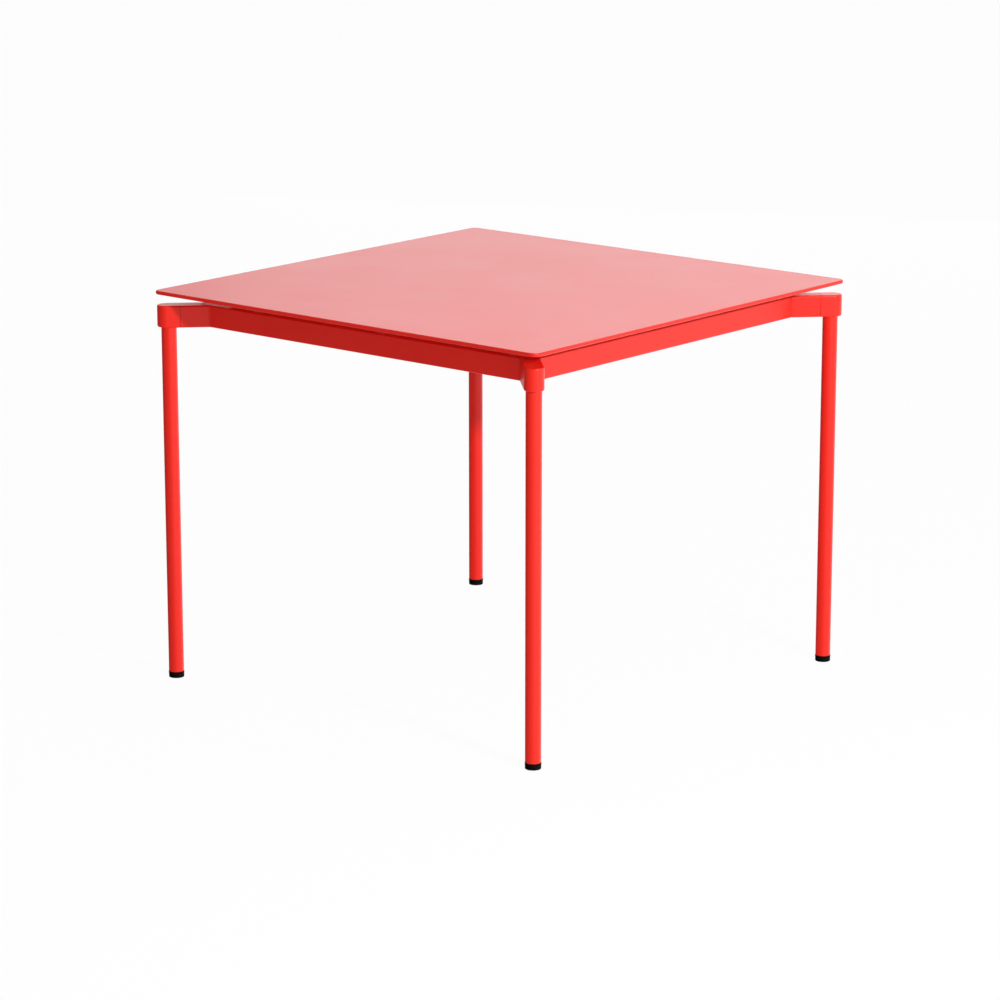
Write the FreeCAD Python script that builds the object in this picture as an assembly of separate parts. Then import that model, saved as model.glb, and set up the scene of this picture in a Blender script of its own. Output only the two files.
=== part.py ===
import FreeCAD, Part
import math
import os

# A square dining table of powder-coated aluminium. A thin flat top floats above a mitred
# square frame on three folded bearers. From each frame corner a short arm runs out to a
# cast leg head below the top's corner, and a round tube leg with a screw-in levelling
# glide stands below each head.
# Millimetres, +Z up. The origin is on the floor below the middle of the top.
# Front is -Y and right is +X.

# Top plate
table_height = 730.0
top_side = 900.0
top_thickness = 7.0
top_corner_radius = 14.0
top_edge_round = 2.5

# Frame rails, rectangular tube mitred at the corners
frame_inset = 60.0              # edge of the top to the outer face of a rail
rail_height = 40.5
rail_depth = 34.0
tube_wall = 2.5
tube_edge_round = 3.0

# Corner arms, tube of the rails' height and wall, notched over the frame's corner
arm_width = 35.0
seam_chamfer = 0.4              # on both sides of the seam between arm and leg head

# Leg heads, castings with a full-round end, a spigot for the arm and a socket for the leg
leg_inset = 20.0                # edge of the top to the leg's axis, both ways
head_tip = 21.0                 # leg's axis to the rounded end
head_length = 42.0              # rounded end to the seam
spigot_length = 30.0
spigot_wall = 4.0
spigot_floor = 9.0              # thick enough for the tapped holes
spigot_lead = 1.0
spigot_fit = 0.1                # each side, between spigot and arm
socket_roof = 8.0               # metal left above the leg's end
socket_fit = 0.05               # all round, between leg and socket
socket_lead = 0.6

# Countersunk screws that hold each head in its arm, from below
head_screw_radius = 2.5
head_screw_length = 14.0
head_screw_cap_radius = 4.6
head_screw_first = 8.5          # seam to the first screw
head_screw_second = 21.5        # seam to the second screw
head_screw_key = 3.0            # across the flats of the drive recess
head_screw_key_depth = 1.8

# Legs, round tube
leg_radius = 14.0
leg_wall = 2.0

# Threaded inserts, ribbed plastic plugs pressed into the legs
insert_collar_radius = 14.5
insert_collar = 2.8
insert_collar_round = 0.5
insert_length = 24.0            # inside the leg
insert_rib_depth = 0.8
insert_rib_count = 4
insert_fit = 0.05               # all round, between ribs and leg

# Levelling glides, a plastic pad moulded on the hexagon head of a threaded stem
pad_height = 8.8
pad_top_radius = 14.3
pad_sole_radius = 14.1
pad_sole_round = 0.8
pad_top_round = 0.5
pad_sole = 2.5                  # plastic below the stem's head
stem_radius = 4.0
stem_head_flats = 13.0
stem_head_height = 4.5
stem_tip_chamfer = 0.8
glide_travel = 10.0
thread_engaged = 18.0           # thread still held at full travel
thread_fit = 0.06               # all round, between stem and insert
mould_fit = 0.03                # all round, between stem and pad

# Bearers, folded hat channels that lie on the left and right rails and carry the top
bearer_height = 19.5            # also the gap between frame and top
bearer_web = 40.0
bearer_flange = 22.0
bearer_sheet = 2.0
bearer_bend = 1.5               # inside radius of the folds
bearer_inset = 90.0             # outer face of the front rail to the front bearer's middle
bearer_setback = 11.0           # outer face of a rail to the bearer's end

# Bolts and nuts that hold the bearers down on the rails
bolt_radius = 3.0
bolt_inset = 20.0               # outer face of a rail to the bolt's axis
bolt_over = 2.0                 # thread standing past the nut
bolt_cap_radius = 5.25
bolt_cap_height = 3.3
bolt_cap_round = 1.8
bolt_key = 4.0
bolt_key_depth = 2.0
bolt_nut_flats = 10.0
bolt_nut_height = 6.0

# Weld studs below the top, and the nuts that hold it to the bearers' flanges
stud_radius = 2.5
stud_length = 10.0
stud_inset = 79.0               # bearer's end to its first stud
stud_count = 3                  # along each flange
stud_nut_flats = 8.0
stud_nut_height = 4.7
nut_flange_radius_share = 0.74  # of a nut's width across the flats
nut_flange_height_share = 0.25  # of a nut's height

# Fits and cutting
hole_clearance = 0.3            # all round, bolts and studs in their holes
nut_fit = 0.05                  # all round, nuts and tapped holes on their threads
overrun = 5.0                   # how far a cutting shape runs past what it cuts

# Levels and reaches worked out from the sizes above
top_under = table_height - top_thickness
frame_top = top_under - bearer_height
frame_bottom = frame_top - rail_height
frame_face = top_side / 2 - frame_inset
corner_reach = frame_face * math.sqrt(2)
leg_reach = (top_side / 2 - leg_inset) * math.sqrt(2)
head_end = leg_reach + head_tip
head_seam = head_end - head_length
leg_bottom = pad_height + insert_collar
leg_top = frame_top - socket_roof
leg_bore = leg_radius - leg_wall
bearer_reach = frame_face - bearer_setback
bearer_row = frame_face - bearer_inset
bolt_reach = frame_face - bolt_inset
stud_reach = bearer_reach - stud_inset

# Turns about the table's axis that put a piece at each corner or side
corner_turns = {"front_right": -45, "back_right": 45, "back_left": 135, "front_left": 225}
side_turns = {"front": 0, "right": 90, "back": 180, "left": 270}

# Places of the bearers from front to back
bearer_rows = {"front": -bearer_row, "middle": 0, "back": bearer_row}

ORIGIN = FreeCAD.Vector(0, 0, 0)
UP = FreeCAD.Vector(0, 0, 1)


def cylinder(radius, bottom, top, x=0, y=0):
    """Upright cylinder between two levels."""
    return Part.makeCylinder(radius, top - bottom, FreeCAD.Vector(x, y, bottom))


def cone(bottom_radius, top_radius, bottom, top, x=0, y=0):
    """Upright cone between two levels."""
    return Part.makeCone(bottom_radius, top_radius, top - bottom, FreeCAD.Vector(x, y, bottom))


def block(x_span, y_span, z_span):
    """Box between two places on each axis."""
    lows, highs = zip(x_span, y_span, z_span)
    sizes = [high - low for low, high in zip(lows, highs)]
    return Part.makeBox(*sizes, FreeCAD.Vector(*lows))


def prism(outline, bottom, top):
    """Upright prism over a closed outline of (x, y) points."""
    points = [FreeCAD.Vector(x, y, bottom) for x, y in outline + outline[:1]]
    return Part.Face(Part.makePolygon(points)).extrude(UP * (top - bottom))


def hexagon(flats, bottom, top, x=0, y=0):
    """Upright hexagonal prism, measured across its flats."""
    sides = 6
    radius = flats / 2 / math.cos(math.pi / sides)
    turns = [math.tau * side / sides for side in range(sides)]
    outline = [(x + radius * math.cos(turn), y + radius * math.sin(turn)) for turn in turns]
    return prism(outline, bottom, top)


def revolve(profile):
    """Solid turned about Z from a closed profile of (radius, height) points."""
    points = [FreeCAD.Vector(radius, 0, height) for radius, height in profile + profile[:1]]
    return Part.Face(Part.makePolygon(points)).revolve(ORIGIN, UP, 360)


def edges_along(shape, axis):
    """Straight edges that run along one of the axes, named x, y or z."""
    lines = [edge for edge in shape.Edges if isinstance(edge.Curve, Part.Line)]
    return [edge for edge in lines if round(abs(getattr(edge.Curve.Direction, axis)), 3) == 1]


def edges_at(shape, axis, place):
    """Edges that lie in the plane at a place along one of the axes, named X, Y or Z."""
    def in_plane(edge):
        ends = (getattr(edge.BoundBox, axis + "Min"), getattr(edge.BoundBox, axis + "Max"))
        return all(round(end - place, 3) == 0 for end in ends)
    return [edge for edge in shape.Edges if in_plane(edge)]


def turned(shape, turn):
    """Copy of a shape, turned about the table's axis."""
    copy = shape.copy()
    copy.rotate(ORIGIN, UP, turn)
    return copy


def spread(count, reach):
    """Places of an even row that runs as far to both sides of zero."""
    return [reach * (2 * index / (count - 1) - 1) for index in range(count)]


def save(name, shape):
    """Write one piece, or one group of like pieces, under its name."""
    shape.exportStep("parts/" + name + ".step")


def make_top():
    """Flat plate with rounded corners and eased edges."""
    half = top_side / 2
    plate = block((-half, half), (-half, half), (top_under, table_height))
    plate = plate.makeFillet(top_corner_radius, edges_along(plate, "z"))
    rims = edges_at(plate, "Z", top_under) + edges_at(plate, "Z", table_height)
    return plate.makeFillet(top_edge_round, rims)


def tube_bar(x_span, width):
    """Outer form of the frame's tube along X, with its long edges rounded."""
    bar = block(x_span, (-width / 2, width / 2), (frame_bottom, frame_top))
    return bar.makeFillet(tube_edge_round, edges_along(bar, "x"))


def tube_hollow(x_span, width):
    """Inside of the frame's tube along X, running out past both ends."""
    half = width / 2 - tube_wall
    ends = (x_span[0] - overrun, x_span[1] + overrun)
    return block(ends, (-half, half), (frame_bottom + tube_wall, frame_top - tube_wall))


def make_rail(bolted):
    """The front rail, cut to a mitre at both ends, with bolt holes where bearers lie on it."""
    span = (-frame_face, frame_face)
    rail = tube_bar(span, rail_depth).cut(tube_hollow(span, rail_depth))
    rail.translate(FreeCAD.Vector(0, rail_depth / 2 - frame_face, 0))
    reach = frame_face + overrun
    mitre = [(0, 0), (-reach, -reach), (reach, -reach)]
    rail = rail.common(prism(mitre, frame_bottom - overrun, frame_top + overrun))
    if bolted:
        for x in bearer_rows.values():
            hole = cylinder(bolt_radius + hole_clearance, frame_bottom - overrun,
                            frame_top + overrun, x, -bolt_reach)
            rail = rail.cut(hole)
    return rail


def head_screw_places():
    """Distances along the diagonal of the screws that hold a leg head."""
    return [head_seam - head_screw_first, head_seam - head_screw_second]


def countersink(x):
    """Clearance hole through an arm's lower wall, opened to seat a countersunk head."""
    shank = head_screw_radius + hole_clearance
    depth = head_screw_cap_radius - shank
    seat = cone(head_screw_cap_radius, shank, frame_bottom, frame_bottom + depth, x)
    return seat.fuse(cylinder(shank, frame_bottom, frame_bottom + tube_wall + overrun, x))


def make_arm():
    """Arm along the +X diagonal, notched over the frame's corner and open at the seam."""
    span = (corner_reach - arm_width / 2, head_seam)
    bar = tube_bar(span, arm_width)
    bar = bar.makeChamfer(seam_chamfer, edges_at(bar, "X", head_seam))
    arm = bar.cut(tube_hollow(span, arm_width))
    notch = [(corner_reach, 0), (corner_reach - arm_width, arm_width),
             (corner_reach - arm_width, -arm_width)]
    arm = arm.cut(prism(notch, frame_bottom - overrun, frame_top + overrun))
    for x in head_screw_places():
        arm = arm.cut(countersink(x))
    return arm


def head_block():
    """Outer form of a leg head: a block with a full-round end and eased edges."""
    half = arm_width / 2
    centre = head_end - half
    corners = [FreeCAD.Vector(x, y, frame_bottom) for x, y in
               ((centre, -half), (centre, half), (head_seam, half), (head_seam, -half))]
    tip = FreeCAD.Vector(head_end, 0, frame_bottom)
    outline = [Part.Arc(corners[0], tip, corners[1]).toShape()]
    for start, end in zip(corners[1:], corners[2:] + corners[:1]):
        outline.append(Part.LineSegment(start, end).toShape())
    form = Part.Face(Part.Wire(outline)).extrude(UP * rail_height)
    seam = edges_at(form, "X", head_seam)
    rims = edges_at(form, "Z", frame_bottom) + edges_at(form, "Z", frame_top)
    rims = [rim for rim in rims if not any(rim.isSame(edge) for edge in seam)]
    form = form.makeFillet(tube_edge_round, rims)
    return form.makeChamfer(seam_chamfer, edges_at(form, "X", head_seam))


def head_spigot():
    """Hollow spigot that fills the arm's tube, with a thick floor for the tapped holes."""
    inset = tube_wall + spigot_fit
    half = arm_width / 2 - inset
    low, high = frame_bottom + inset, frame_top - inset
    end = head_seam - spigot_length
    spigot = block((end, head_seam), (-half, half), (low, high))
    spigot = spigot.makeChamfer(spigot_lead, edges_at(spigot, "X", end))
    inner = half - spigot_wall
    pocket = block((end - overrun, head_seam - spigot_wall), (-inner, inner),
                   (low + spigot_floor, high - spigot_wall))
    spigot = spigot.cut(pocket)
    for x in head_screw_places():
        tapped = cylinder(head_screw_radius + nut_fit, low - overrun, low + spigot_floor, x)
        spigot = spigot.cut(tapped)
    return spigot


def make_head():
    """Leg head along the +X diagonal: block, spigot and the blind socket for the leg."""
    bore = leg_radius + socket_fit
    head = head_block().fuse(head_spigot()).removeSplitter()
    head = head.cut(cylinder(bore, frame_bottom, leg_top, leg_reach))
    lead = cone(bore + socket_lead, bore, frame_bottom, frame_bottom + socket_lead, leg_reach)
    return head.cut(lead)


def make_head_screws():
    """The countersunk screws of one leg head, flush with the arm's underside."""
    slope = head_screw_cap_radius - head_screw_radius - hole_clearance
    neck = head_screw_cap_radius - slope
    screws = []
    for x in head_screw_places():
        screw = cylinder(head_screw_radius, frame_bottom, frame_bottom + head_screw_length, x)
        cap = cone(head_screw_cap_radius, neck, frame_bottom, frame_bottom + slope, x)
        key = hexagon(head_screw_key, frame_bottom, frame_bottom + head_screw_key_depth, x)
        screws.append(screw.fuse(cap).removeSplitter().cut(key))
    return screws


def make_leg():
    """Round tube from the insert's collar up to the end of the head's socket."""
    tube = cylinder(leg_radius, leg_bottom, leg_top, leg_reach)
    return tube.cut(cylinder(leg_bore, leg_bottom, leg_top, leg_reach))


def make_insert():
    """Plug with a collar below the leg, barbed ribs inside it and a threaded bore."""
    rib = leg_bore - insert_fit
    core = rib - insert_rib_depth
    step = insert_length / (insert_rib_count + 1)
    profile = [(0, leg_bottom), (core, leg_bottom)]
    for index in range(insert_rib_count):
        level = leg_bottom + (index + 1) * step
        profile += [(core, level), (rib, level), (core, level + step / 2)]
    profile += [(core, leg_bottom + insert_length), (0, leg_bottom + insert_length)]
    collar = cylinder(insert_collar_radius, pad_height, leg_bottom)
    rims = edges_at(collar, "Z", pad_height) + edges_at(collar, "Z", leg_bottom)
    plug = collar.makeFillet(insert_collar_round, rims).fuse(revolve(profile)).removeSplitter()
    bore = cylinder(stem_radius + thread_fit, pad_height, leg_bottom + insert_length)
    plug = plug.cut(bore)
    plug.translate(FreeCAD.Vector(leg_reach, 0, 0))
    return plug


def make_stem():
    """Threaded stem on a hexagon head."""
    top = pad_height + thread_engaged + glide_travel
    rod = cylinder(stem_radius, pad_sole, top)
    rod = rod.makeChamfer(stem_tip_chamfer, edges_at(rod, "Z", top))
    stem = rod.fuse(hexagon(stem_head_flats, pad_sole, pad_sole + stem_head_height))
    stem = stem.removeSplitter()
    stem.translate(FreeCAD.Vector(leg_reach, 0, 0))
    return stem


def make_pad():
    """Pad that widens upwards, rounded at its edges and moulded round the stem's head."""
    pad = cone(pad_sole_radius, pad_top_radius, 0, pad_height)
    pad = pad.makeFillet(pad_sole_round, edges_at(pad, "Z", 0))
    pad = pad.makeFillet(pad_top_round, edges_at(pad, "Z", pad_height))
    seat = hexagon(stem_head_flats + 2 * mould_fit, pad_sole,
                   pad_sole + stem_head_height + mould_fit)
    pad = pad.cut(seat.fuse(cylinder(stem_radius + mould_fit, pad_sole, pad_height)))
    pad.translate(FreeCAD.Vector(leg_reach, 0, 0))
    return pad


def folded_edge(points, radii):
    """Open wire of straight runs through the points, with the inner corners rounded."""
    edges = []
    start = points[0]
    for before, corner, after, radius in zip(points, points[1:], points[2:], radii):
        back = (before - corner).normalize()
        ahead = (after - corner).normalize()
        half_angle = back.getAngle(ahead) / 2
        bisector = (back + ahead).normalize()
        centre = corner + bisector * (radius / math.sin(half_angle))
        reach = radius / math.tan(half_angle)
        end = corner + ahead * reach
        edges.append(Part.LineSegment(start, corner + back * reach).toShape())
        edges.append(Part.Arc(corner + back * reach, centre - bisector * radius, end).toShape())
        start = end
    edges.append(Part.LineSegment(start, points[-1]).toShape())
    return Part.Wire(edges)


def stud_places():
    """Places of the studs of one bearer, on both of its flanges."""
    side = bearer_web / 2 + bearer_flange / 2
    return [(x, y) for x in spread(stud_count, stud_reach) for y in (-side, side)]


def make_bearer():
    """Hat channel along X: web down on the rails, flanges up against the top."""
    side = bearer_web / 2
    edge = side + bearer_flange
    lip = top_under - bearer_sheet
    outline = [(-edge, lip), (-side, lip), (-side, frame_top),
               (side, frame_top), (side, lip), (edge, lip)]
    points = [FreeCAD.Vector(-bearer_reach, y, z) for y, z in outline]
    outside = bearer_bend + bearer_sheet
    path = folded_edge(points, (bearer_bend, outside, outside, bearer_bend))
    section = path.makeOffset2D(-bearer_sheet, fill=True, openResult=True)
    bearer = section.extrude(FreeCAD.Vector(2 * bearer_reach, 0, 0))
    for x in (-bolt_reach, bolt_reach):
        hole = cylinder(bolt_radius + hole_clearance, frame_top - overrun, lip, x)
        bearer = bearer.cut(hole)
    for x, y in stud_places():
        hole = cylinder(stud_radius + hole_clearance, lip - overrun, top_under + overrun, x, y)
        bearer = bearer.cut(hole)
    return bearer


def flanged_nut(flats, height, bore, seat, upward):
    """Hexagon nut with a washer flange on its seat; it stands up or hangs down from there."""
    way = 1 if upward else -1
    ends = sorted((seat, seat + way * height))
    flange = sorted((seat, seat + way * height * nut_flange_height_share))
    nut = hexagon(flats, *ends).fuse(cylinder(flats * nut_flange_radius_share, *flange))
    return nut.removeSplitter().cut(cylinder(bore, *ends))


def bolt_places():
    """Places of the bolts that hold the bearers on the left and right rails."""
    return [(x, y) for x in (-bolt_reach, bolt_reach) for y in bearer_rows.values()]


def make_bolt():
    """Button-head bolt from below a rail, through rail and bearer, to past its nut."""
    nut_top = frame_top + bearer_sheet + bolt_nut_height
    cap = cylinder(bolt_cap_radius, frame_bottom - bolt_cap_height, frame_bottom)
    cap = cap.makeFillet(bolt_cap_round, edges_at(cap, "Z", frame_bottom - bolt_cap_height))
    bolt = cap.fuse(cylinder(bolt_radius, frame_bottom, nut_top + bolt_over)).removeSplitter()
    key = hexagon(bolt_key, frame_bottom - bolt_cap_height,
                  frame_bottom - bolt_cap_height + bolt_key_depth)
    return bolt.cut(key)


def copies(shape, places):
    """Separate copies of one piece at (x, y) places, as a group."""
    group = []
    for x, y in places:
        copy = shape.copy()
        copy.translate(FreeCAD.Vector(x, y, 0))
        group.append(copy)
    return Part.makeCompound(group)


def all_stud_places():
    """Places of the studs of every bearer."""
    return [(x, row + y) for row in bearer_rows.values() for x, y in stud_places()]


def main():
    """Build every piece and write it."""
    os.makedirs("parts", exist_ok=True)
    save("table_top", make_top())

    for side, turn in side_turns.items():
        save("rail_" + side, turned(make_rail(side in ("left", "right")), turn))

    corner_pieces = {"corner_arm": make_arm(), "leg_head": make_head(), "leg_tube": make_leg(),
                     "leg_insert": make_insert(), "glide_stem": make_stem(),
                     "glide_pad": make_pad()}
    for name, piece in corner_pieces.items():
        for corner, turn in corner_turns.items():
            save(name + "_" + corner, turned(piece, turn))
    screws = [turned(screw, turn) for turn in corner_turns.values()
              for screw in make_head_screws()]
    save("head_screws", Part.makeCompound(screws))

    bearer = make_bearer()
    for name, row in bearer_rows.items():
        save("bearer_" + name, copies(bearer, [(0, row)]))
    save("bearer_bolts", copies(make_bolt(), bolt_places()))
    bolt_nut = flanged_nut(bolt_nut_flats, bolt_nut_height, bolt_radius + nut_fit,
                           frame_top + bearer_sheet, True)
    save("bearer_nuts", copies(bolt_nut, bolt_places()))

    stud = cylinder(stud_radius, top_under - stud_length, top_under)
    save("top_studs", copies(stud, all_stud_places()))
    stud_nut = flanged_nut(stud_nut_flats, stud_nut_height, stud_radius + nut_fit,
                           top_under - bearer_sheet, False)
    save("top_nuts", copies(stud_nut, all_stud_places()))


main()
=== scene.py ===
import math

import bpy
import numpy as np
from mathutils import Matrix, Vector


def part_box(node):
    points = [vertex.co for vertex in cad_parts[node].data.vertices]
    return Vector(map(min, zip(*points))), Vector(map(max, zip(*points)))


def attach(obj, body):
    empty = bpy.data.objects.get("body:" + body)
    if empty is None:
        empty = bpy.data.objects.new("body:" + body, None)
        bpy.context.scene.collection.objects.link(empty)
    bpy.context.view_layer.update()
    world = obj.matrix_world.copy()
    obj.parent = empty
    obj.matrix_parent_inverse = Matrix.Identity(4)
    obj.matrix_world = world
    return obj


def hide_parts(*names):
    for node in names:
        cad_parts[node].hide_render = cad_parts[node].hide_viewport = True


# A square red dining table in a plain studio. The CAD solids keep their shapes and get finishes
# of satin powder coat, moulded plastic and zinc plate. Weld beads are added at the corners of the
# frame. Stems, bolts and studs get their threads, and nuts their bevels and washer flanges.
# Metres, +Z up. Front is -Y and right is +X.

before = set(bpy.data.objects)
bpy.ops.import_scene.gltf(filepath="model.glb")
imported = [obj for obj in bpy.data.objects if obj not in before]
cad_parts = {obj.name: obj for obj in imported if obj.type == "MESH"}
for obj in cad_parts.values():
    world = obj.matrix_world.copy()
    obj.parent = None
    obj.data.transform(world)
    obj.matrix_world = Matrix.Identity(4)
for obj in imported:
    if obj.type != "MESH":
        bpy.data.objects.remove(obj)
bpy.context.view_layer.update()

mm = 0.001
X, Y, Z = range(3)
diagonal = 1 / math.sqrt(2)      # share of a length on the diagonal that lies along X, or along Y

# Camera, at the photograph's viewing angle
camera_place = (4.2223, -5.0344, 1.9423)
camera_azimuth = math.radians(40.02)
camera_elevation = math.radians(13.831)
camera_lens = 131.34
camera_sensor = 36.0

# Light: levels are the brightness of a white surface that faces the light
lamp_aim = (0.0, 0.0, 0.65)
key_way = (2.7, -0.765, 1.03)    # from the table towards the lamp
key_distance = 4.5
key_side = 0.2
key_level = 0.77
back_way = (-0.47, 0.85, 0.24)
back_distance = 5.0
back_side = 4.0
back_level = 0.1
ambient_ramp = (0.0, 1.0)        # from the horizon to overhead, as a cosine
ambient_levels = (0.68, 0.35)
white = (1.0, 1.0, 1.0, 1.0)
overhead = (0.0, 0.0, 1.0)
studio_way = (0.64, 0.77, 0.0)   # towards the bright side of the studio
studio_ramp = (-0.6, 0.35)       # turn away from that side, as a cosine, where the light fades
studio_levels = (0.0, 1.55)
floor_half = 20.0
floor_pale = 0.95
floor_seen = 0.04                # share of the floor's own shade in what the camera sees

# Finishes. A pattern is its features in a metre and its layers of finer detail. Roughness starts
# from one level, and each pattern adds its own share.
coat_full = (0.80, 0.013, 0.004, 1.0)
coat_thin = (0.74, 0.012, 0.0037, 1.0)
# Painted shade: the colour of the shaded groove where an arm meets its leg head
coat_seam_shade = (0.52, 0.008, 0.003, 1.0)
coat_drift = (7, 2)
coat_peel = (750, 1)
coat_grain = (2600, 2)
coat_rough = 0.3
coat_rough_drift = 0.05
coat_rough_grain = 0.05
coat_gloss = 1.4                 # index of refraction
coat_relief = 0.02 * mm
coat_relief_peel = 0.7
coat_relief_grain = 0.3

plastic_black = (0.002, 0.002, 0.002, 1.0)
plastic_grey = (0.006, 0.006, 0.006, 1.0)
plastic_grain = (3200, 3)
plastic_wear = (180, 3)
plastic_rough = 0.5
plastic_rough_grain = 0.16
plastic_gloss = 1.12             # index of refraction
plastic_relief = 0.03 * mm

zinc_pale = (0.66, 0.67, 0.68, 1.0)
zinc_warm = (0.55, 0.54, 0.51, 1.0)
zinc_patches = (420, 2)
zinc_scratches = (5200, 1)
zinc_rough = 0.26
zinc_rough_patches = 0.14
zinc_rough_scratches = 0.08
zinc_relief = 0.004 * mm

# Turns about the table's axis that put a piece at each corner
corner_turns = {"front_right": -45, "back_right": 45, "back_left": 135, "front_left": 225}

# Threads: flats at crest and root, and depth, as shares of the pitch
crest_share = 1 / 16
root_share = 3 / 8
depth_share = 0.61
rings_per_pitch = 8

sharp_turn = math.radians(32)    # edges that turn more than this stay sharp


def span(node, axis):
    """Lowest and highest place of a CAD node along one axis."""
    low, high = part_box(node)
    return low[axis], high[axis]


def middle(node, axis):
    """Middle of a CAD node along one axis."""
    return sum(span(node, axis)) / 2


# Levels and places read from the frame
frame_bottom, frame_top = span("rail_front", Z)
frame_face = span("rail_right", X)[1]
rail_depth = frame_face - span("rail_right", X)[0]
top_under = span("table_top", Z)[0]
bearer_rows = [middle("bearer_" + row, Y) for row in ("front", "middle", "back")]
bearer_half = span("bearer_middle", Y)[1]

# Arms and welds. A pair is for the level runs of a weld and for its upright one.
arm_width = 35 * mm
tube_edge = 3 * mm               # rounding along the edges of rails and arms
weld_step = 0.5 * mm
weld_ripple_pitch = 2.2 * mm
weld_ripple_share = 0.05
weld_end = 2.0 * mm
weld_sides = 16
weld_bend = 1.25 * tube_edge
weld_bend_points = 9
arm_weld_inset = 0.4 * tube_edge
arm_weld_sunk = (0.9 * tube_edge, 0.5 * mm)
arm_weld_wide = (0.9 * tube_edge, 2.3 * mm)
arm_weld_high = (tube_edge, 2.3 * mm)
mitre_weld_sunk = (1.3 * mm, 1.2 * mm)
mitre_weld_wide = (2.4 * mm, 2.6 * mm)
mitre_weld_high = (1.5 * mm, 2.6 * mm)

# Joint between an arm and its leg head: where the arm ends, along the diagonal
seam_chamfer = 0.4 * mm
# Half the width of the painted line of shade along that joint
seam_shade_half = 0.6 * mm
seam_place = span("corner_arm_back_right", X)[1] / diagonal - arm_width / 2 + seam_chamfer

# Fasteners: sizes, and the points or rings that draw their curves
stem_sides = 48
stem_head_flats = 13 * mm
stem_head_height = 4.5 * mm
stem_radius = 4.0 * mm
stem_pitch = 1.25 * mm
stem_chamfer = 0.8 * mm
bolt_sides = 36
bolt_radius = 3.0 * mm
bolt_pitch = 1.0 * mm
bolt_thread = 24 * mm
bolt_inset = 20 * mm
bolt_cap_radius = 5.25 * mm
bolt_cap_round = 1.8 * mm
bolt_cap_rings = 7
bolt_key_flats = 4.0 * mm
bolt_key_depth = 2.0 * mm
bolt_nut_flats = 10 * mm
stud_sides = 24
stud_radius = 2.5 * mm
stud_pitch = 0.8 * mm
stud_nut_flats = 8 * mm
flange_half = 11 * mm            # half of a bearer's flange, where the studs go through
nut_sides = 48
nut_fit = 0.05 * mm
nut_flange_share = 0.74          # of the width across the flats, as the next three
nut_bevel_share = 0.06
nut_face_share = 0.475
nut_bore_share = 0.04
nut_bevel_rings = 6
nut_rim_share = 0.08             # of the nut's height, as the next one
nut_slope_share = 0.25
tip_chamfer = 0.5 * mm


class Wire:
    """An output of a node. Arithmetic on it adds Math nodes, and node() adds any other node."""

    def __init__(self, tree, socket=None):
        self.tree = tree
        self.socket = socket

    def node(self, kind, settings=None, sockets=None, output=0):
        """A new node: its settings are set first, then its sockets are filled or linked."""
        made = self.tree.nodes.new(kind)
        for name, value in (settings or {}).items():
            setattr(made, name, value)
        for name, value in (sockets or {}).items():
            if isinstance(value, Wire):
                self.tree.links.new(value.socket, made.inputs[name])
            else:
                made.inputs[name].default_value = value
        return Wire(self.tree, made.outputs[output] if made.outputs else None)

    def math(self, operation, first, second):
        return self.node("ShaderNodeMath", {"operation": operation}, {0: first, 1: second})

    def __add__(self, other):
        return self.math("ADD", self, other)

    def __radd__(self, other):
        return self.math("ADD", other, self)

    def __sub__(self, other):
        return self.math("SUBTRACT", self, other)

    def __rsub__(self, other):
        return self.math("SUBTRACT", other, self)

    def __mul__(self, other):
        return self.math("MULTIPLY", self, other)

    def __rmul__(self, other):
        return self.math("MULTIPLY", other, self)

    def __abs__(self):
        return self.math("ABSOLUTE", self, 0.0)

    def less(self, other):
        return self.math("LESS_THAN", self, other)

    def least(self, other):
        return self.math("MINIMUM", self, other)

    def ramp(self, way, ends, levels):
        """Level that goes smoothly from one to another as this direction turns towards a way; the
        ends are cosines of the turn."""
        turn = self.node("ShaderNodeVectorMath", {"operation": "DOT_PRODUCT"},
                         {0: self, 1: way}, "Value")
        return self.node("ShaderNodeMapRange", {"interpolation_type": "SMOOTHSTEP"},
                         {"Value": turn, "From Min": ends[0], "From Max": ends[1],
                          "To Min": levels[0], "To Max": levels[1]})

    def parts(self):
        """The three parts of this place."""
        split = self.node("ShaderNodeSeparateXYZ", {}, {0: self})
        return [Wire(self.tree, part) for part in split.socket.node.outputs]

    def noise(self, scale, detail):
        """Noise at this place, from 0 to 1, with features of one over the scale in metres."""
        return self.node("ShaderNodeTexNoise", {"noise_dimensions": "3D"},
                         {"Vector": self, "Scale": scale, "Detail": detail}, "Fac")

    def blend(self, first, second):
        """Colour between two, by this share of the second one. A Mix node takes its colours at
        sockets 6 and 7, and gives one at socket 2."""
        return self.node("ShaderNodeMix", {"data_type": "RGBA"},
                         {0: self, 6: first, 7: second}, 2)

    def bump(self, height):
        """Normal bent by this relief, whose full height is given in metres."""
        return self.node("ShaderNodeBump", {},
                         {"Height": self, "Strength": 1.0, "Distance": height})


def new_finish(name):
    """An empty material and the place on the piece, as its Object coordinates."""
    material = bpy.data.materials.new(name)
    material.use_nodes = True
    material.node_tree.nodes.clear()
    place = Wire(material.node_tree).node("ShaderNodeTexCoord", {}, {}, "Object")
    return material, place


def surface(place, sockets):
    """Ends a material in a Principled surface with these sockets."""
    shader = place.node("ShaderNodeBsdfPrincipled", {}, sockets)
    place.node("ShaderNodeOutputMaterial", {}, {"Surface": shader})


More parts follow.
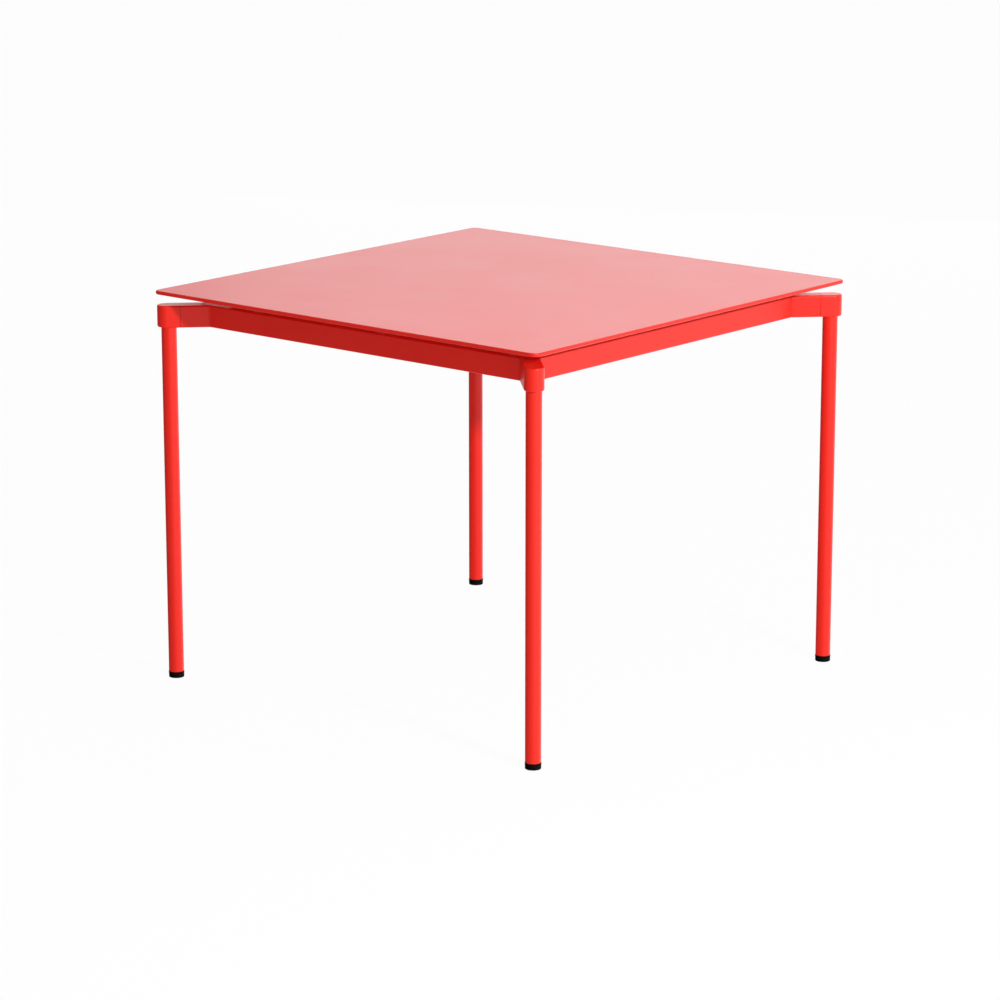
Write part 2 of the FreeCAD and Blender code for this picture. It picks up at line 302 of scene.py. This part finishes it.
def red_coat():
    """Satin powder coat: orange peel about a millimetre wide, finer grain, and a slow drift of
    film thickness that shifts colour and gloss a little. Under the top, a painted dark line stands
    in for the shade in the groove where arm and leg head meet, on both diagonals."""
    material, place = new_finish("red_powder_coat")
    drift = place.noise(*coat_drift)
    peel = place.noise(*coat_peel)
    grain = place.noise(*coat_grain)
    x, y, z = place.parts()
    # Painted shade: a dark line along the joint of arm and leg head, under the top, in place of
    # the shade in its groove
    from_seam = abs((abs(x) + abs(y)) * diagonal - seam_place)
    seam_shade = from_seam.less(seam_shade_half) * z.less(top_under)
    relief = coat_relief_peel * peel + coat_relief_grain * grain
    surface(place, {"Base Color": seam_shade.blend(drift.blend(coat_thin, coat_full), coat_seam_shade),
                    "Roughness": coat_rough + coat_rough_drift * drift + coat_rough_grain * grain,
                    "IOR": coat_gloss,
                    "Normal": relief.bump(coat_relief)})
    return material


def black_plastic():
    """Moulded plastic: fine spark-eroded grain with slightly worn, greyer patches."""
    material, place = new_finish("black_moulded_plastic")
    grain = place.noise(*plastic_grain)
    wear = place.noise(*plastic_wear)
    surface(place, {"Base Color": (wear * wear).blend(plastic_black, plastic_grey),
                    "Roughness": plastic_rough + plastic_rough_grain * grain,
                    "IOR": plastic_gloss,
                    "Normal": grain.bump(plastic_relief)})
    return material


def zinc_plate():
    """Zinc-plated steel: crystal-like patches that differ in tint and gloss, and fine
    scratches."""
    material, place = new_finish("zinc_plate")
    patches = place.noise(*zinc_patches)
    scratches = place.noise(*zinc_scratches)
    rough = zinc_rough + zinc_rough_patches * patches + zinc_rough_scratches * scratches
    surface(place, {"Base Color": patches.blend(zinc_pale, zinc_warm),
                    "Metallic": 1.0,
                    "Roughness": rough,
                    "Normal": scratches.bump(zinc_relief)})
    return material


finishes = {"red_coat": red_coat(), "black_plastic": black_plastic(), "steel": zinc_plate()}


def finish_solids():
    """Gives every CAD node the detailed finish of its record's slot."""
    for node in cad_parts.values():
        for slot in node.material_slots:
            slot.material = finishes[slot.material.name.split(".")[0]]


def skin(rings, looped=False):
    """Closed surface over rings of points, as points and triangles. Each ring is joined to the
    next; a looped surface joins the last ring to the first, and any other has a fan at each
    end."""
    count, around = rings.shape[:2]
    index = np.arange(count * around).reshape(count, around)
    ahead = np.roll(index, -1, axis=1)
    near = slice(None) if looped else slice(0, -1)
    above, above_ahead = np.roll(index, -1, axis=0)[near], np.roll(ahead, -1, axis=0)[near]
    quads = np.stack([index[near], ahead[near], above_ahead, above], axis=-1).reshape(-1, 4)
    triangles = [quads[:, [0, 1, 2]], quads[:, [0, 2, 3]]]
    points = rings.reshape(-1, 3)
    if not looped:
        first, last = np.full(around, len(points)), np.full(around, len(points) + 1)
        triangles.append(np.stack([ahead[0], index[0], first], axis=-1))
        triangles.append(np.stack([index[-1], ahead[-1], last], axis=-1))
        points = np.concatenate([points, rings[[0, -1]].mean(axis=1)])
    return points, np.concatenate(triangles)


def joined(surfaces):
    """Several surfaces as one set of points and triangles."""
    counts = [len(points) for points, triangles in surfaces]
    starts = np.cumsum([0] + counts[:-1])
    shifted = [triangles + start for (points, triangles), start in zip(surfaces, starts)]
    return np.concatenate([points for points, triangles in surfaces]), np.concatenate(shifted)


def placed(form, places):
    """Copies of one surface at (x, y) places, as one set of points and triangles."""
    points, triangles = form
    return joined([(points + (x, y, 0), triangles) for x, y in places])


def turned(form, turn):
    """A surface turned about the table's axis, by an angle in degrees."""
    points, triangles = form
    c, s = math.cos(math.radians(turn)), math.sin(math.radians(turn))
    return points @ np.array([[c, s, 0], [-s, c, 0], [0, 0, 1]]), triangles


def add_piece(name, form, slot, body, *nodes):
    """New piece with its faces outwards, smooth but for its sharp edges, on a CAD body."""
    points, triangles = form
    corners = points[triangles]
    volume = np.einsum("ij,ij->i", corners[:, 0], np.cross(corners[:, 1], corners[:, 2])).sum()
    if volume < 0:
        triangles = triangles[:, ::-1]
    mesh = bpy.data.meshes.new(name)
    mesh.from_pydata(points, [], triangles)
    mesh.polygons.foreach_set("use_smooth", np.ones(len(triangles), dtype=bool))
    mesh.set_sharp_from_angle(angle=sharp_turn)
    mesh.materials.append(finishes[slot])
    piece = bpy.data.objects.new(name, mesh)
    bpy.context.scene.collection.objects.link(piece)
    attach(piece, body)
    if nodes:
        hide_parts(*nodes)


def round_turns(count):
    """Angles of the points of one ring."""
    return np.arange(count) * math.tau / count


def hexagon_radius(flats, turn):
    """A hexagon's radius at a turn from a corner: half its flats over the cosine of the turn from
    the middle of the side."""
    sixth = math.tau / 6
    return flats / 2 / np.cos(turn % sixth - sixth / 2)


def thread_radius(turn, height, radius, pitch):
    """A thread's radius: the crest's radius less a groove. The groove's depth is a wave of the
    height above a helix that climbs one pitch a turn, cut off flat at crest and root."""
    from_crest = np.abs((height / pitch - turn / math.tau) % 1 - 0.5)
    groove = np.clip((from_crest - crest_share) / (root_share - crest_share), 0, 1)
    return radius - depth_share * pitch * groove


def rings_about(turn, blocks):
    """Rings about the Z axis from blocks of heights, each block with radii for all its rings."""
    heights = np.concatenate([np.atleast_1d(height) for height, radii in blocks])
    radii = np.concatenate([np.broadcast_to(radii, (np.size(height), turn.size))
                            for height, radii in blocks])
    return np.stack([radii * np.cos(turn), radii * np.sin(turn),
                     np.broadcast_to(heights[:, None], radii.shape)], axis=-1)


def threaded(turn, start, tip, radius, pitch, chamfer):
    """Block of a threaded length from its start to its tip, which a cone cuts back."""
    count = round(abs(tip - start) / pitch * rings_per_pitch)
    heights = np.linspace(start, tip, count + 1)
    cone = radius - np.clip(chamfer - np.abs(tip - heights), 0, None)
    radii = np.minimum(thread_radius(turn, heights[:, None], radius, pitch), cone[:, None])
    return heights, radii


def glide_stem():
    """A hexagon head with a threaded stem above it, about the Z axis."""
    low, high = span("glide_stem_front_left", Z)
    turn = round_turns(stem_sides)
    head = hexagon_radius(stem_head_flats, turn)
    shoulder = low + stem_head_height
    return skin(rings_about(turn, [(low, head), (shoulder, head), (shoulder, stem_radius),
                                   threaded(turn, shoulder, high, stem_radius, stem_pitch,
                                            stem_chamfer)]))


def bearer_bolt():
    """A button-head bolt about the Z axis: drive recess, rounded cap, plain shank and thread."""
    low, high = span("bearer_bolts", Z)
    turn = round_turns(bolt_sides)
    key = hexagon_radius(bolt_key_flats, turn)
    bend = np.linspace(0, math.pi / 2, bolt_cap_rings)
    rim = bolt_cap_radius - bolt_cap_round + bolt_cap_round * np.sin(bend)
    return skin(rings_about(turn, [
        (low + bolt_key_depth, key), (low, key),
        (low + bolt_cap_round * (1 - np.cos(bend)), rim[:, None]),
        (frame_bottom, bolt_cap_radius), (frame_bottom, bolt_radius),
        threaded(turn, high - bolt_thread, high, bolt_radius, bolt_pitch, tip_chamfer)]))


def top_stud():
    """A threaded stud about the Z axis, from the underside of the top down to its tip."""
    turn = round_turns(stud_sides)
    low = span("top_studs", Z)[0]
    return skin(rings_about(turn, [
        (top_under, stud_radius),
        threaded(turn, top_under - tip_chamfer, low, stud_radius, stud_pitch, tip_chamfer)]))


def flange_nut(flats, bore, seat, face):
    """A nut about the Z axis from its seat to its face: the smaller of a hexagon and a cone that
    bevels its corners, on a washer flange that slopes up from a thin rim."""
    turn = round_turns(nut_sides)
    height = face - seat
    hexagon = hexagon_radius(flats, turn)
    bevel = np.linspace(0, nut_bevel_share, nut_bevel_rings)
    cone = flats * (nut_face_share + bevel * math.sqrt(3))
    bored = nut_bore_share * flats
    rim = flats * nut_flange_share
    return skin(rings_about(turn, [
        (seat, bore + bored), (seat, rim), (seat + height * nut_rim_share, rim),
        (seat + height * nut_slope_share, hexagon),
        (face - bevel[::-1] * math.copysign(flats, height),
         np.minimum(hexagon, cone[::-1, None])),
        (face, bore + bored), (face - math.copysign(bored, height), bore),
        (seat + math.copysign(bored, height), bore)]), looped=True)


def three_sides(reach, low, high, bend):
    """Path out along the top, down the end and back along the bottom of a rectangle with rounded
    corners: runs and quarter circles, resampled at even steps of length. Gives the places, along
    and up, and the length so far at each."""
    quarter = np.linspace(0, math.pi / 2, weld_bend_points)
    upper = np.stack([reach - bend + bend * np.sin(quarter),
                      high - bend + bend * np.cos(quarter)], axis=1)
    lower = upper[::-1] * (1, -1) + (0, low + high)
    corners = np.concatenate([[(0, high)], upper, lower, [(0, low)]])
    steps = np.linalg.norm(np.diff(corners, axis=0), axis=1)
    length = np.concatenate([[0], np.cumsum(steps)])
    even = np.linspace(0, length[-1], round(length[-1] / weld_step))
    return np.stack([np.interp(even, length, column) for column in corners.T], axis=1), even


def weld_bead(start, along, across, reach, sunk, wide, high):
    """Weld bead round three sides of a joint: an ellipse carried along the path. Its middle lies
    under the surface by sunk, and its half axes are wide across the joint and high out of it; each
    of these is a pair, for the level runs and for the upright one. It swells at every ripple and
    both ends close as a quarter circle."""
    path, length = three_sides(reach - sunk[1], frame_bottom + sunk[0], frame_top - sunk[0],
                               weld_bend)
    tangent = np.gradient(path, length, axis=0)
    upright = tangent[:, 1] ** 2
    level = 1 - upright
    from_end = np.minimum(length, length[-1] - length)
    taper = np.sqrt(1 - np.clip(1 - from_end / weld_end, 0, 1) ** 2)
    ripple = 1 + weld_ripple_share * np.abs(np.sin(math.pi * length / weld_ripple_pitch))
    up = np.array((0, 0, 1))
    out = -tangent[:, 1:] * along + tangent[:, :1] * up
    middle_line = start + path[:, :1] * along + path[:, 1:] * up
    turn = round_turns(weld_sides)
    side = (taper * ripple * (wide[0] * level + wide[1] * upright))[:, None] * np.cos(turn)
    rise = (taper * ripple * (high[0] * level + high[1] * upright))[:, None] * np.sin(turn)
    return skin(middle_line[:, None] + side[:, :, None] * across + rise[:, :, None] * out[:, None])


def add_welds():
    """Weld beads at each corner of the frame: where the arm meets both rails, and on the mitre."""
    apex = np.array((frame_face / diagonal, 0, 0))
    arm_welds = [
        weld_bead(start=apex - arm_weld_inset * np.array((1, side, 0)) * diagonal,
                  along=np.array((-1, side, 0)) * diagonal,
                  across=np.array((1, side, 0)) * diagonal,
                  reach=arm_width / 2 / diagonal,
                  sunk=arm_weld_sunk, wide=arm_weld_wide, high=arm_weld_high)
        for side in (1, -1)]
    mitre_weld = weld_bead(start=apex, along=np.array((-1, 0, 0)), across=np.array((0, 1, 0)),
                           reach=rail_depth / diagonal,
                           sunk=mitre_weld_sunk, wide=mitre_weld_wide, high=mitre_weld_high)
    for corner, turn in corner_turns.items():
        add_piece("arm_weld_" + corner, turned(joined(arm_welds), turn), "red_coat", "table")
        add_piece("mitre_weld_" + corner, turned(mitre_weld, turn), "red_coat", "table")


def add_fasteners():
    """Threaded and bevelled fasteners in place of the plain ones."""
    stem = glide_stem()
    for corner, turn in corner_turns.items():
        node = "glide_stem_" + corner
        place = [(middle(node, X), middle(node, Y))]
        add_piece("threaded_stem_" + corner, placed(turned(stem, turn), place), "steel",
                  "glide_" + corner, node)

    bolt_reach = frame_face - bolt_inset
    bolt_places = [(x, row) for x in (-bolt_reach, bolt_reach) for row in bearer_rows]
    add_piece("threaded_bolts", placed(bearer_bolt(), bolt_places), "steel", "table",
              "bearer_bolts")
    bolt_nut = flange_nut(bolt_nut_flats, bolt_radius + nut_fit, *span("bearer_nuts", Z))
    add_piece("bevelled_bolt_nuts", placed(bolt_nut, bolt_places), "steel", "table", "bearer_nuts")

    stud_reach = span("top_studs", X)[1] - stud_radius
    stud_side = bearer_half - flange_half
    stud_places = [(x, row + y) for row in bearer_rows for x in (-stud_reach, 0, stud_reach)
                   for y in (-stud_side, stud_side)]
    add_piece("threaded_studs", placed(top_stud(), stud_places), "steel", "table", "top_studs")
    stud_nut = flange_nut(stud_nut_flats, stud_radius + nut_fit, *span("top_nuts", Z)[::-1])
    add_piece("bevelled_top_nuts", placed(stud_nut, stud_places), "steel", "table", "top_nuts")


def add_lamp(name, way, distance, side, level):
    """Square lamp that faces the table from some way off; its power gives the level there."""
    lamp = bpy.data.lights.new(name, "AREA")
    lamp.size = side
    lamp.energy = level * (math.pi * distance) ** 2
    holder = bpy.data.objects.new(name, lamp)
    direction = Vector(way).normalized()
    holder.location = Vector(lamp_aim) + direction * distance
    holder.rotation_euler = direction.to_track_quat("Z", "Y").to_euler()
    holder.visible_camera = False
    bpy.context.scene.collection.objects.link(holder)


def ray_kinds(graph, *kinds):
    """One for rays of these kinds, and zero for the others."""
    return sum(graph.node("ShaderNodeLightPath", {}, {}, "Is %s Ray" % kind)
               for kind in kinds).least(1.0)


def add_world():
    """White studio to see, with softer light from all round that is weaker overhead. Gloss mirrors
    a studio that is bright at the back and the right and darkens towards the front and the
    left."""
    world = bpy.data.worlds.new("studio")
    world.use_nodes = True
    world.node_tree.nodes.clear()
    world.cycles.sampling_method = "NONE"
    graph = Wire(world.node_tree)
    way = graph.node("ShaderNodeTexCoord", {}, {}, "Generated")
    mirrored = way.ramp(studio_way, studio_ramp, studio_levels)
    ambient = way.ramp(overhead, ambient_ramp, ambient_levels)
    strength = (ambient + (1 - ambient) * ray_kinds(graph, "Camera", "Transmission")
                + (mirrored - ambient) * ray_kinds(graph, "Glossy"))
    sky = graph.node("ShaderNodeBackground", {}, {"Color": white, "Strength": strength})
    graph.node("ShaderNodeOutputWorld", {}, {"Surface": sky})
    bpy.context.scene.world = world


def add_floor():
    """Pale floor that lights the table from below; where it is seen, the white studio shows
    through it and leaves a light shadow."""
    material, place = new_finish("pale_floor")
    shade = place.node("ShaderNodeBsdfDiffuse", {}, {"Color": (floor_pale,) * 3 + (1.0,)})
    clear = place.node("ShaderNodeBsdfTransparent")
    mixed = place.node("ShaderNodeMixShader", {},
                       {0: (1 - floor_seen) * ray_kinds(place, "Camera", "Glossy", "Transmission"),
                        1: shade, 2: clear})
    place.node("ShaderNodeOutputMaterial", {}, {"Surface": mixed})
    mesh = bpy.data.meshes.new("floor")
    corners = np.array([(-1, -1, 0), (1, -1, 0), (1, 1, 0), (-1, 1, 0)]) * floor_half
    mesh.from_pydata(corners, [], [(0, 1, 2, 3)])
    mesh.materials.append(material)
    floor = bpy.data.objects.new("floor", mesh)
    bpy.context.scene.collection.objects.link(floor)


def add_camera():
    """Camera at the photograph's place and angle."""
    camera = bpy.data.cameras.new("camera")
    camera.lens = camera_lens
    camera.sensor_width = camera_sensor
    holder = bpy.data.objects.new("camera", camera)
    holder.location = camera_place
    holder.rotation_euler = (math.pi / 2 - camera_elevation, 0, camera_azimuth)
    bpy.context.scene.collection.objects.link(holder)
    bpy.context.scene.camera = holder


add_camera()
add_world()
add_lamp("key", key_way, key_distance, key_side, key_level)
add_lamp("back", back_way, back_distance, back_side, back_level)
add_floor()
finish_solids()
add_welds()
add_fasteners()
bpy.context.scene.view_settings.view_transform = "Standard"
